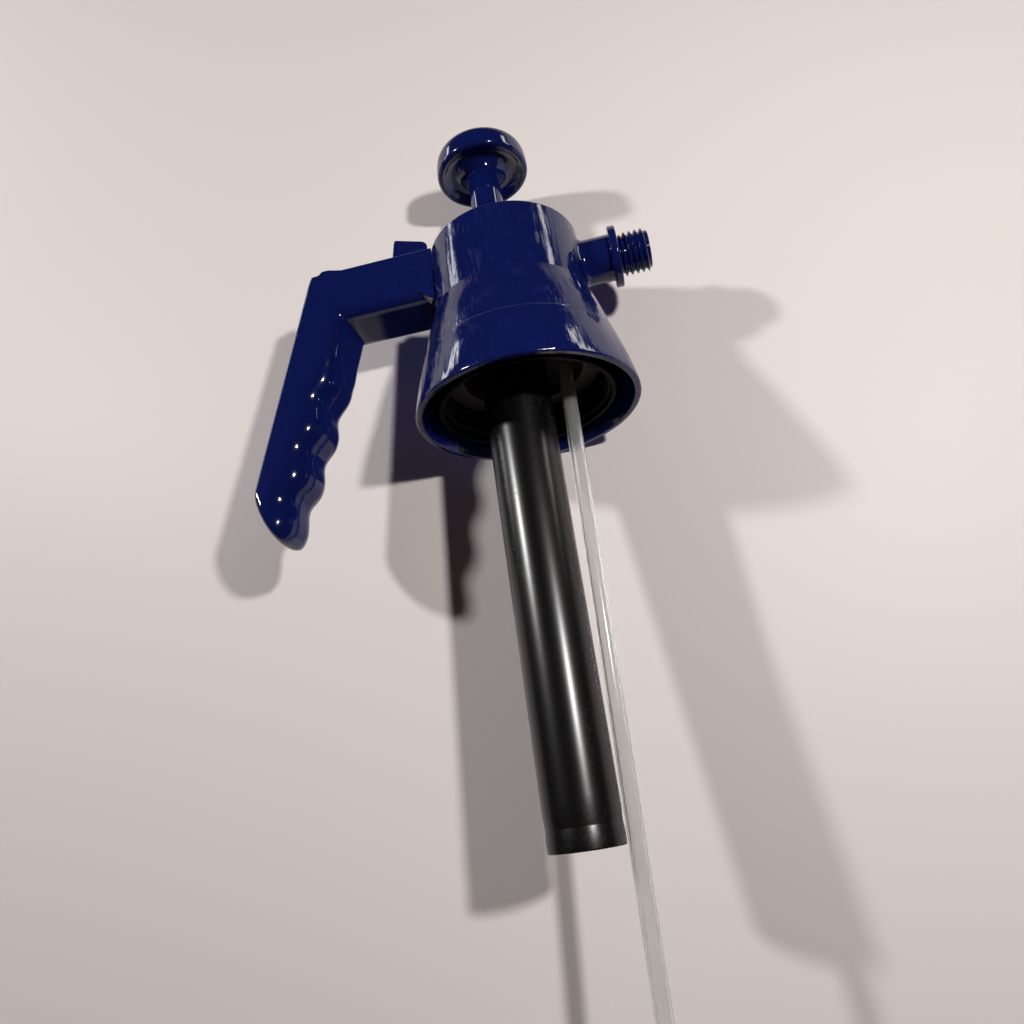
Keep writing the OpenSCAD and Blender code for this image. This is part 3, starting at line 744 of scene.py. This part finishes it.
def knob_profile():
    """Up the rod's side, down the hub, out along the dish, round the rim and over the top."""
    hub_low, hub_r, sweep_w, sweep_h = KNOB_Z - 3.0, 6.05, 4.6, 5
    dish_w, dish_drop, rim = 3, 1.35, 1.3
    side_low, side_h, shoulder, side_bend = KNOB_Z + 2.6, KNOB_H - 3.2, 3.4, 0.75
    top_r, top_rise = KNOB_R - shoulder, 0.6
    points = [(ROD_R, KNOB_Z + 5.0), (ROD_R, hub_low + 0.05), (ROD_R + 0.05, hub_low), (hub_r - 0.1, hub_low)]
    points += [(hub_r + sweep_w * (1 - math.cos(a)), hub_low + sweep_h * math.sin(a))
               for a in quarter(20, shift=0.3)]
    points += [(hub_r + sweep_w + dish_w * t, KNOB_Z + 2 - dish_drop * t * t)
               for t in (k / 8 for k in range(9))]
    points += [(KNOB_R - rim + rim * math.cos(a), KNOB_Z + rim + rim * math.sin(a))
               for a in (math.radians(245 + 115 * k / 14) for k in range(15))]
    points += [(KNOB_R - shoulder * (1 - math.cos(a) ** side_bend),
                side_low + side_h * math.sin(a) ** side_bend)
               for a in quarter(32)]
    points += [(top_r * (1 - t), KNOB_Z + KNOB_H - top_rise * (1 - t) ** 2)
               for t in (k / 10 for k in range(10))]
    points += [(0, KNOB_Z + KNOB_H), (0, KNOB_Z + 5.0)]
    return [Vector(p) for p in points]


new_piece("knob_moulding", turned_mesh("knob", knob_profile(), 176), blue_gloss,
          "blue_plastic", "plunger", "knob")
rod_loop = rounded([(0, ROD_END), (ROD_R, ROD_END, 0.3), (ROD_R, KNOB_Z + 6, 0.3), (0, KNOB_Z + 6)])
new_piece("rod_tube", turned_mesh("rod", rod_loop, 128), blue_gloss,
          "blue_plastic", "plunger", "pump_rod")

# %% [markdown]
# ## Barrel
#
# The barrel is an extruded black tube whose lower end is rolled over the foot valve. It could
# be a plain cylinder, but the shallow groove above the rolled end, only a quarter of a
# millimetre deep, catches the light as a short bright mark, so it is drawn into a profile.

# %% Barrel
BARREL_END, BARREL_TOP = -129.4, 59.9
COLLAR_TOP, COLLAR_R = 57.5, 12.6  # the inner body's collar, which carries the barrel's flange


def barrel_profile():
    outer, bore, groove_deep = 10.7, 9.3, 0.25
    points = [(bore, BARREL_END, 0.3), (outer - 0.1, BARREL_END, 0.4), (outer, BARREL_END + 3, 1.4),
              (outer - groove_deep, BARREL_END + 6, 1.5), (outer, BARREL_END + 9.5, 2.0)]
    points += [(outer, z, 0.0) for z in range(-116, 55, 8)]
    points += [(outer, COLLAR_TOP, 0.2), (COLLAR_R, COLLAR_TOP, 0.3), (COLLAR_R, BARREL_TOP, 0.3),
               (bore, BARREL_TOP, 0.3)]
    return rounded(points)


new_piece("barrel_tube", turned_mesh("barrel", barrel_profile(), 176), black_satin,
          "black_plastic", "root", "pump_barrel")

# %% [markdown]
# ## Gland nut
#
# The gland closes the top of the barrel and guides the rod. Its edge has 24 flutes for the
# fingers. They could be cut one by one, but they are one cutter copied round a circle with
# Geometry Nodes, and taken from the turned nut in the same tree.

# %% Gland nut with flutes
def flute_tree():
    tree, into, out = new_tree(
        "flutes_round_edge", ["Circle radius", "Flute radius", "Height", "Length", "Centre X"], ["Count"])
    nodes, links = tree.nodes, tree.links
    circle = nodes.new("GeometryNodeMeshCircle")
    links.new(into.outputs["Count"], circle.inputs["Vertices"])
    links.new(into.outputs["Circle radius"], circle.inputs["Radius"])
    flute = nodes.new("GeometryNodeMeshCylinder")
    flute.inputs["Vertices"].default_value = 20
    links.new(into.outputs["Flute radius"], flute.inputs["Radius"])
    links.new(into.outputs["Length"], flute.inputs["Depth"])
    copies = nodes.new("GeometryNodeInstanceOnPoints")
    links.new(circle.outputs[0], copies.inputs["Points"])
    links.new(flute.outputs[0], copies.inputs["Instance"])
    real = nodes.new("GeometryNodeRealizeInstances")
    links.new(copies.outputs[0], real.inputs[0])
    lift = nodes.new("ShaderNodeCombineXYZ")
    links.new(into.outputs["Centre X"], lift.inputs["X"])
    links.new(into.outputs["Height"], lift.inputs["Z"])
    place = nodes.new("GeometryNodeTransform")
    links.new(real.outputs[0], place.inputs["Geometry"])
    links.new(lift.outputs[0], place.inputs["Translation"])
    carve = nodes.new("GeometryNodeMeshBoolean")
    carve.operation = "DIFFERENCE"
    links.new(into.outputs["Geometry"], carve.inputs["Mesh 1"])
    links.new(place.outputs[0], carve.inputs["Mesh 2"])
    return end_tree(tree, carve.outputs[0], into, out)


GLAND_TOP, GLAND_R, GLAND_BORE = 66.5, 12.5, 5.75
GUIDE_R, GUIDE_END, NUT_LOW = 9.2, 52.6, 60.6
SEAL_R, SEAL_DEEP = 7.6, 2.4
nut_loop = rounded([
    (GLAND_BORE, GUIDE_END, 0.2), (GUIDE_R, GUIDE_END, 0.3), (GUIDE_R, NUT_LOW, 0.1),
    (GLAND_R, NUT_LOW, 0.2), (GLAND_R, GLAND_TOP, 0.7), (SEAL_R, GLAND_TOP, 0.3),
    (SEAL_R, GLAND_TOP - SEAL_DEEP, 0.1), (GLAND_BORE, GLAND_TOP - SEAL_DEEP, 0.1)])
nut_mesh = run_tree(
    turned_mesh("nut", nut_loop, 144), flute_tree(), Circle_radius=(GLAND_R + 0.5) * MM,
    Flute_radius=1.0 * MM, Height=(GLAND_TOP - 0.5) * MM, Length=6.0 * MM, Centre_X=PUMP_X * MM,
    Count=24, Material=blue_gloss)
new_piece("gland_nut_moulding", nut_mesh, blue_gloss, "blue_plastic", "root", "gland_nut")

# %% [markdown]
# ## Inner body
#
# Inside the skirt a second moulding screws onto the bottle: a threaded wall, a deck that
# closes the mouth, a collar round the barrel and a riser for the liquid. The wall and deck are
# one turned loop with the thread raised by the same node tree, this time inwards.

# %% Inner body
NECK_ROOT_R, NECK_LOW, DECK_Z, DECK_TOP = 27.0, 2.5, 15.5, 18.5
BARREL_HOLE_R = 10.75
RISER_X, RISER_R = 13.75, 4


def neck_profile():
    outer, deck_r, hole, ring = 28.4, 29.6, 11.2, 0.16
    first, last = 15.0, 2.9
    points = [(outer, NECK_LOW, 0.3), (outer, DECK_Z, 0.0), (deck_r, DECK_Z, 0.2), (deck_r, DECK_TOP, 0.3),
              (hole, DECK_TOP, 0.2), (hole, DECK_Z, 0.2), (NECK_ROOT_R, DECK_Z, 0.3)]
    points += [(NECK_ROOT_R, first - ring * k, 0.0) for k in range(int((first - last) / ring) + 1)]
    points += [(NECK_ROOT_R, NECK_LOW, 0.3)]
    return rounded(points)


def collar_profile():
    foot_r = 14.4
    return rounded([(BARREL_HOLE_R, DECK_Z, 0.2), (foot_r, DECK_Z, 0.2), (foot_r, 18.4, 0.2),
                    (COLLAR_R, 18.9, 0.3), (COLLAR_R, COLLAR_TOP, 0.3), (BARREL_HOLE_R, COLLAR_TOP, 0.2)])


neck_mesh = run_tree(
    turned_mesh("neck", neck_profile(), 200, centre=MID), raise_thread,
    Pitch=3.2 * MM, Height=-1.0 * MM, Start=3.2 * MM, End=14.6 * MM, Wall_radius=NECK_ROOT_R * MM,
    Crest_share=0.1, Flank_share=0.16, Along_X=0.0, Material=black_dull)
collar_mesh = turned_mesh("collar", collar_profile(), 128)
riser_loop = rounded([(0, 15.6), (RISER_R, 15.6), (RISER_R, 47, 0.4), (0, 47)])
riser_mesh = cut(
    turned_mesh("riser", riser_loop, 96, centre=(RISER_X, 0.0)),
    [tube_cutter(2.9, 8.5, 24.5, centre=(RISER_X, 0.0), segments=64)])
cradle_mesh = box_mesh("cradle", (RISER_X, -3, 39), (23.35, 3, 46.9))
inner_meshes = [neck_mesh, collar_mesh, riser_mesh, cradle_mesh]
print("neck, collar, riser and cradle:", [len(m.polygons) for m in inner_meshes])
# the inner moulding is black plastic, and its finish is darker and duller still, as painted shade for the
# deep shade inside the skirt
new_piece("inner_moulding", joined("inner", inner_meshes), black_dull, "black_plastic", "root", "inner_body")

# %% [markdown]
# ## Handle
#
# The handle is the hardest shape: an arm, and a grip with a flat back, straight sides and
# finger bulges on the front that bite into the sides. The grip is lofted by rule, section by
# section, and joined to the arm. The union is then remeshed with small voxels and pulled back
# onto the exact surfaces, so flat faces stay flat while every edge and inner corner comes out
# softly rounded, as in a mould.

# %% Rules for the grip's sections
HALF_W = 11.5
LEAN = math.radians(16.8)
CORNER_X, GRIP_LEN, END_ROUND = 66.5, 86.8, 4.0
GROOVE_PITCH, GROOVE_DEPTH, FIRST_BULGE = 17.2, 2.1, 36.6
MID_DEPTH = 17.6


def ease(u):
    """Goes smoothly from 0 to 1 as u does, and stays at either end."""
    u = max(0.0, min(1.0, u))
    return u * u * (3 - 2 * u)


def groove(s):
    """How deep a finger groove is at s along the grip, as a share of its full depth."""
    wave = max(0.0, 0.5 - 0.5 * math.cos(2 * math.pi * (s - FIRST_BULGE) / GROOVE_PITCH))
    return wave ** 1.2 * ease((s - 30) / 10)


def grip_depth(s):
    """From the back to the front at s: the grip thins towards the arm and towards its end."""
    d = max(0.0, s - 36)
    return MID_DEPTH - 1.5 * ease((38 - s) / 14) - 0.03 * d - 0.0013 * d * d


def slid(s, t):
    """Where a point at depth t lands along the back: the lower end is cut on the slant."""
    slant_from, end_depth, slant, back_rise = 38, 12.3, 15.6, 7
    share = ease((s - slant_from) / (GRIP_LEN - slant_from))
    return s + share * (slant * (max(t, 0.0) / end_depth) ** 0.72 - back_rise)


def grip_section(s, steps=22):
    """Outline across the grip at s, as (depth, width) points from the back round the front."""
    late = max(0.0, s - GRIP_LEN + END_ROUND) / END_ROUND
    shrink = END_ROUND * (1 - math.sqrt(max(0.0, 1 - late * late)))
    half = HALF_W - 0.9 * shrink
    depth = grip_depth(s) - 0.7 * shrink
    back = 0.1 * shrink
    r = min(5.2 + 4 * ease((s - 26) / 14), half - 0.3, depth - back - 1)
    side = []
    for i in range(steps + 1):
        a = math.radians(90 * i / steps)
        t = depth - r + r * math.sin(a)
        dip = GROOVE_DEPTH * groove(slid(s, t)) * math.sin(a) ** 0.8
        side.append((t - dip * math.sin(a), half - r + r * math.cos(a) - dip * math.cos(a)))
    flank = [(back, half - 0.9), (back + 0.9, half)]
    return flank + side + [(t, -y) for t, y in reversed(side)] + [(t, -y) for t, y in reversed(flank)]


def grip_point(s, t, y):
    along = slid(s, t)
    return (MM * (-CORNER_X - along * math.sin(LEAN) + t * math.cos(LEAN)), MM * y,
            MM * (SHELL_TOP - along * math.cos(LEAN) - t * math.sin(LEAN)))


print("grip is", round(grip_depth(36), 1), "mm deep at its middle,", round(grip_depth(85), 1), "at its end")

# %% Arm and grip as one solid
def loft_mesh(name, rings):
    """Closed skin over rings of as many points each, with a flat fan at both ends."""
    mesh = bpy.data.meshes.new(name)
    bm = bmesh.new()
    rows = [[bm.verts.new(p) for p in ring] for ring in rings]
    count = len(rows[0])
    for low, high in zip(rows, rows[1:]):
        for k in range(count):
            bm.faces.new((low[k], low[(k + 1) % count], high[(k + 1) % count], high[k]))
    for row in (rows[0], rows[-1]):
        middle = bm.verts.new(sum((v.co for v in row), Vector()) / count)
        for k in range(count):
            bm.faces.new((row[k], row[(k + 1) % count], middle))
    bmesh.ops.recalc_face_normals(bm, faces=bm.faces)
    bm.to_mesh(mesh)
    bm.free()
    return mesh


def bar_mesh(half_w, low, high, r, x0, x1, steps=8):
    """Bar along X with its two lower edges rounded."""
    corner = [(half_w - r + r * math.cos(math.pi / 2 * k / steps),
               low + r - r * math.sin(math.pi / 2 * k / steps)) for k in range(steps + 1)]
    outline = [(-half_w, high)] + [(-y, z) for y, z in corner] + corner[::-1] + [(half_w, high)]
    return loft_mesh("bar", [[(MM * x, MM * y, MM * z) for y, z in outline] for x in (x0, x1)])


def wedge_mesh(points, half_w):
    """Outline of (x, z) points, drawn across the arm's width."""
    return loft_mesh("wedge", [[(MM * x, MM * y, MM * z) for x, z in points] for y in (-half_w, half_w)])


# sections stand closer together towards the rounded end
ROWS, FIRST_ROW, CROWDING = 110, -6, 1.3
sections = [FIRST_ROW + (GRIP_LEN - FIRST_ROW) * (1 - (1 - i / ROWS) ** CROWDING) for i in range(ROWS + 1)]
grip_mesh = loft_mesh("grip", [[grip_point(s, t, y) for t, y in grip_section(s)] for s in sections])
ARM_LOW, WALL = 44.2, 1.8
arm = bar_mesh(HALF_W - 0.02, ARM_LOW, SHELL_TOP + 2, 4.6, -60, -21.8)
gusset = wedge_mesh([(-29.4, ARM_LOW + 2.6), (-22, ARM_LOW - 3.6), (-22, ARM_LOW + 2.6)], HALF_W - 0.04)
solid_mesh = cut(grip_mesh, [arm, gusset], "UNION")
# the top is level, but for a low ramp under the thumb
top_line = [(-90, SHELL_TOP), (-62.8, SHELL_TOP), (-62.6, SHELL_TOP + 0.7), (-61.6, SHELL_TOP + 1.3),
            (-59.5, SHELL_TOP + 1.2), (-55.0, SHELL_TOP), (-10, SHELL_TOP)]
top_cut = wedge_mesh([(-90, 90)] + top_line + [(-10, 90)], 20)
corner_at = Vector((-CORNER_X - 0.6, 0, SHELL_TOP + 0.4))
corner_cut = box_mesh("corner", (-1.6, -20, -1.6), (1.6, 20, 1.6))
corner_cut.transform(Matrix.Translation(corner_at * MM) @ Matrix.Rotation(math.pi / 4 - LEAN / 2, 4, "Y"))
arm_hollow = bar_mesh(HALF_W - WALL, ARM_LOW + WALL, 60.5, 3, -56, -19)
trigger_mouth = box_mesh("mouth", (-39.6, -9.7, 58), (-19.6, 9.7, 70))
head_loop = [(0, 30), (26.4, 30), (26.15, UPPER_Z), (25.4, SHELL_TOP), (25.4, 70), (0, 70)]
head_room = turned_mesh("room", [Vector(p) for p in head_loop], 192, centre=MID)
handle_mesh = cut(solid_mesh, [top_cut, corner_cut, arm_hollow, trigger_mouth, head_room])
print("handle before smoothing:", len(handle_mesh.polygons), "faces")

# %% Softening every edge of the handle
def softened(mesh, voxel, rounds):
    """Remeshed, pulled onto the exact surface, then eased along its edges."""
    exact = loose("exact", mesh)
    soft = loose("soft", mesh.copy())
    remesh = soft.modifiers.new("remesh", "REMESH")
    remesh.mode = "VOXEL"
    remesh.voxel_size = voxel * MM
    wrap = soft.modifiers.new("wrap", "SHRINKWRAP")
    wrap.wrap_method = "NEAREST_SURFACEPOINT"
    wrap.target = exact
    ease_edges = soft.modifiers.new("ease", "SMOOTH")
    ease_edges.factor = 0.5
    ease_edges.iterations = rounds
    graph = bpy.context.evaluated_depsgraph_get()
    result = bpy.data.meshes.new_from_object(soft.evaluated_get(graph))
    for thing in (exact, soft):
        bpy.data.objects.remove(thing)
    for face in result.polygons:
        face.use_smooth = True
    return result


handle = new_piece("handle_moulding", softened(handle_mesh, voxel=0.45, rounds=3), blue_gloss,
                   "blue_plastic", "root", "handle")
handle.data.set_sharp_from_angle(angle=math.pi)

# %% [markdown]
# ## Trigger
#
# The thumb trigger is a small cap with a sloping top that tips about a steel pin. It could be
# modelled face by face, but its shape is all in its side view. So it is a flat outline drawn
# across the arm's width, cut to clear the round head, and softened like the handle.

# %% Trigger
PIVOT_X, TRIGGER_HALF, SKIN = -27.3, 9.35, 2
CAP_LOW, TAIL_LOW = 55.6, 61.1
cap = [(-37.5, TAIL_LOW), (-36.0, 70.0), (-35.4, 70.6), (-25.7, 67.4), (-25.0, 66.6), (-24.3, 65.2),
       (-23.4, 64.9), (-23.4, CAP_LOW), (PIVOT_X - 2.6, CAP_LOW), (PIVOT_X - 3.4, TAIL_LOW)]
leg = box_mesh("leg", (PIVOT_X - 3.6, -4, 48.2), (PIVOT_X - 1.0, 4, 56.2))
knee = box_mesh("knee", (PIVOT_X - 3.59, -3.99, 52.8), (PIVOT_X + 0.2, 3.99, 56.8))
hollow = box_mesh("hollow", (-35.4, SKIN - TRIGGER_HALF, 58.5), (-30.4, TRIGGER_HALF - SKIN, 68.3))
room = tube_cutter(26.15, 45, 80, centre=MID, segments=160)
trigger_mesh = cut(cut(wedge_mesh(cap, TRIGGER_HALF), [leg, knee], "UNION"), [hollow, room])
trigger = new_piece("trigger_moulding", softened(trigger_mesh, voxel=0.28, rounds=3), blue_gloss,
                    "blue_plastic", "trigger", "trigger")
trigger.data.set_sharp_from_angle(angle=math.pi)

# %% [markdown]
# ## Dip tube
#
# The dip tube is a drawn polyethylene pipe, milky and stiff enough to stand straight. It could
# be a curve with a round bevel, but a pipe has a wall that shows at its cut end. So it is
# turned upright as a closed loop, and then swung onto the line between its two ends.

# %% Dip tube
TUBE_TOP, TUBE_END = Vector((RISER_X, 0, 21.5)), Vector((7.8, 7.6, -205))


def pipe_mesh(name, start, end, outer, inner, segments=64):
    """Open pipe of two radii, turned upright and then swung onto the line from start to end."""
    length = (end - start).length
    loop = rounded([(inner, 0, 0.1), (outer, 0, 0.2), (outer, length, 0.2), (inner, length, 0.1)], 0.15, 3)
    mesh = turned_mesh(name, loop, segments, centre=(0.0, 0.0))
    turn = Vector((0, 0, 1)).rotation_difference(end - start).to_matrix().to_4x4()
    mesh.transform(Matrix.Translation(start * MM) @ turn)
    return mesh


pipe = pipe_mesh("pipe", TUBE_END, TUBE_TOP, outer=2.4, inner=1.6)
new_piece("dip_tube_pipe", pipe, milky_tube, "clear_tube", "root", "dip_tube")

# %% [markdown]
# ## Valve spring
#
# Behind the outlet a small spring closes the valve. A spring is the plainest thing that
# follows a path, so the path is a spiral in Geometry Nodes and the wire is a circle swept
# along it. The result is laid over onto the outlet's axis in the same tree.

# %% Valve spring
def spring_tree():
    tree, into, out = new_tree(
        "coil_spring", ["Coil radius", "Wire radius", "Length", "Turns", "Start X", "Height"],
        takes_mesh=False)
    nodes, links = tree.nodes, tree.links
    path = nodes.new("GeometryNodeCurveSpiral")
    path.inputs["Resolution"].default_value = 28
    links.new(into.outputs["Turns"], path.inputs["Rotations"])
    links.new(into.outputs["Coil radius"], path.inputs["Start Radius"])
    links.new(into.outputs["Coil radius"], path.inputs["End Radius"])
    links.new(into.outputs["Length"], path.inputs["Height"])
    wire = nodes.new("GeometryNodeCurvePrimitiveCircle")
    wire.inputs["Resolution"].default_value = 12
    links.new(into.outputs["Wire radius"], wire.inputs["Radius"])
    sweep = nodes.new("GeometryNodeCurveToMesh")
    sweep.inputs["Fill Caps"].default_value = True
    links.new(path.outputs[0], sweep.inputs["Curve"])
    links.new(wire.outputs[0], sweep.inputs["Profile Curve"])
    at = nodes.new("ShaderNodeCombineXYZ")
    links.new(into.outputs["Start X"], at.inputs["X"])
    links.new(into.outputs["Height"], at.inputs["Z"])
    place = nodes.new("GeometryNodeTransform")
    place.inputs["Rotation"].default_value = (0, math.pi / 2, 0)
    links.new(sweep.outputs[0], place.inputs["Geometry"])
    links.new(at.outputs[0], place.inputs["Translation"])
    return end_tree(tree, place.outputs[0], into, out)


# the tree needs an object to run on, so it is given an empty mesh
spring_mesh = run_tree(
    bpy.data.meshes.new("seed"), spring_tree(), Coil_radius=2.4 * MM, Wire_radius=0.45 * MM,
    Length=10.0 * MM, Turns=5.0, Start_X=29.5 * MM, Height=OUTLET_Z * MM, Material=steel)
for face in spring_mesh.polygons:
    face.use_smooth = True
new_piece("valve_spring_wire", spring_mesh, steel, "steel", "root", "valve_spring")

# %% [markdown]
# ## Pieces kept from the mechanical model
#
# The remaining pieces are small seals, pins and valve parts inside the pump. Their shapes are
# already right, so they could be left plain, but a cut or an open view would show that. Each
# gets the finish of its material, in its own material slots.

# %% Finishes for the kept pieces
FINISH = {"blue_plastic": blue_gloss, "black_plastic": black_satin, "rubber": rubber,
          "steel": steel, "clear_tube": milky_tube}
for part in frame["record"]["subparts"]:
    node = frame["nodes"][part["node"]]
    if node.hide_render:
        continue
    if not node.material_slots:
        node.data.materials.append(None)
    for material_slot in node.material_slots:
        material_slot.material = FINISH[part["material_slot"]]
print("kept:", [n for n, o in frame["nodes"].items() if not o.hide_render])
